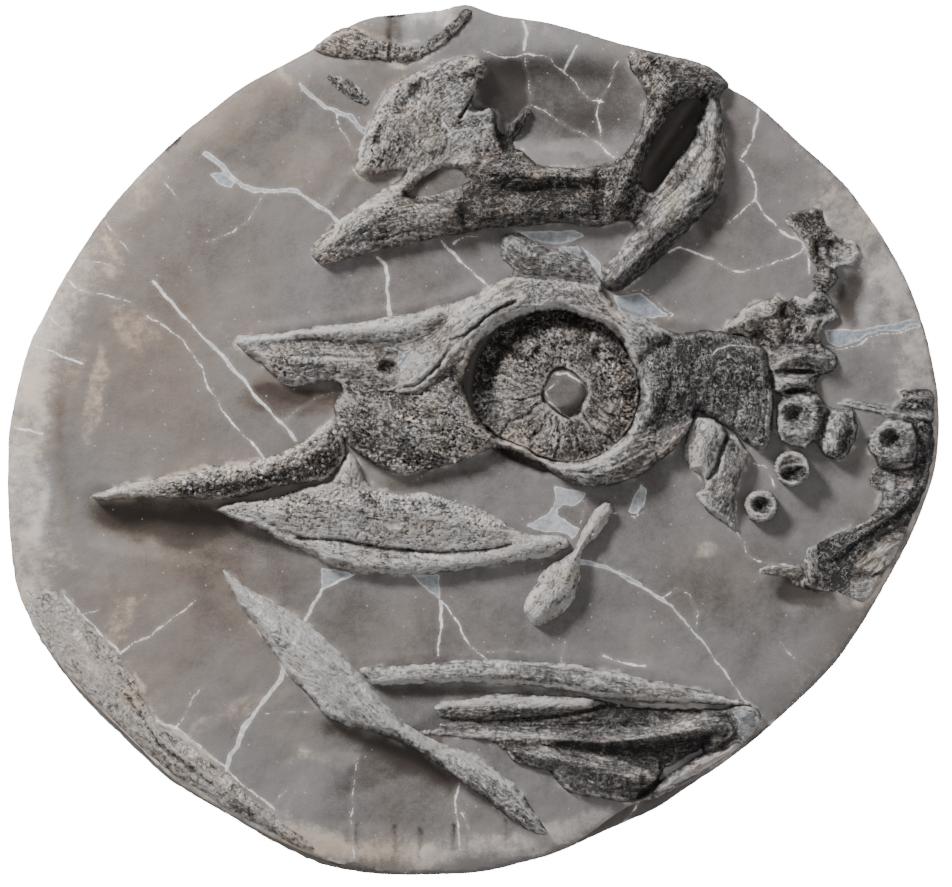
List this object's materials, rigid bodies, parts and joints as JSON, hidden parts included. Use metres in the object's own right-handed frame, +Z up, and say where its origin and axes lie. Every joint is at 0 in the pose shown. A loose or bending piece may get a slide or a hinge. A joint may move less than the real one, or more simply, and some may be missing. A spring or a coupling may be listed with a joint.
{
  "type": "fossil marine reptile skull slab",
  "caption": "Rounded block of grey concretion with the skull, ring-shaped eye, jaw bones and neck vertebrae of a fossil marine reptile standing out of its flat top.",
  "frame": {"origin": "centre of the block's plan extent, on the flat base it rests on", "axes": "+X along the beak from its tip to the neck, the block's longest extent; +Y from the loose jaw bones towards the second skull; +Z up, the thickness, towards the worked face"},
  "size_m": [0.3316, 0.3102, 0.07],
  "materials": {
    "matrix": "matte",
    "pale_bone": "matte",
    "grey_bone": "matte",
    "dark_bone": "satin",
    "brown_bone": "matte"
  },
  "bodies": {
    "root": {"matrix_slab": "matrix", "nasal": "pale_bone", "premaxilla": "pale_bone", "prefrontal": "pale_bone", "postfrontal": "pale_bone", "brow_blade": "grey_bone", "postorbital": "dark_bone", "maxilla": "grey_bone", "jugal": "pale_bone", "quadratojugal": "grey_bone", "quadrate_front": "pale_bone", "quadrate_rear": "grey_bone", "sclerotic_ring": "brown_bone", "upper_snout": "grey_bone", "upper_orbit_bar": "dark_bone", "upper_orbit_rear": "dark_bone", "upper_cheek_plate": "pale_bone", "upper_splinter": "dark_bone", "temporal_bar": "grey_bone", "dentary": "grey_bone", "jaw_fan": "pale_bone", "jaw_blade": "pale_bone", "paddle_bone": "grey_bone", "diagonal_blade": "grey_bone", "long_bar": "pale_bone", "bundle_upper": "pale_bone", "bundle_middle": "grey_bone", "bundle_lower": "pale_bone", "bundle_outer": "pale_bone", "bundle_knob": "pale_bone", "neural_arch_1": "pale_bone", "neural_arch_2": "pale_bone", "neural_arch_3": "pale_bone", "arch_tripod": "brown_bone", "rib_head": "pale_bone", "centrum_side": "grey_bone", "neck_knob": "grey_bone", "neck_spur": "brown_bone", "centrum_1": "pale_bone", "centrum_2": "pale_bone", "centrum_3": "pale_bone", "centrum_4": "pale_bone", "neck_socket": "pale_bone", "rim_crescent": "grey_bone", "spongy_oval": "brown_bone", "rim_bone_left": "pale_bone", "rim_rib": "pale_bone", "rim_stub": "dark_bone", "rim_arc": "dark_bone", "rim_lobe": "pale_bone", "rim_plate": "brown_bone", "small_splinter": "grey_bone", "pale_mound": "pale_bone"}
  },
  "joints": []
}
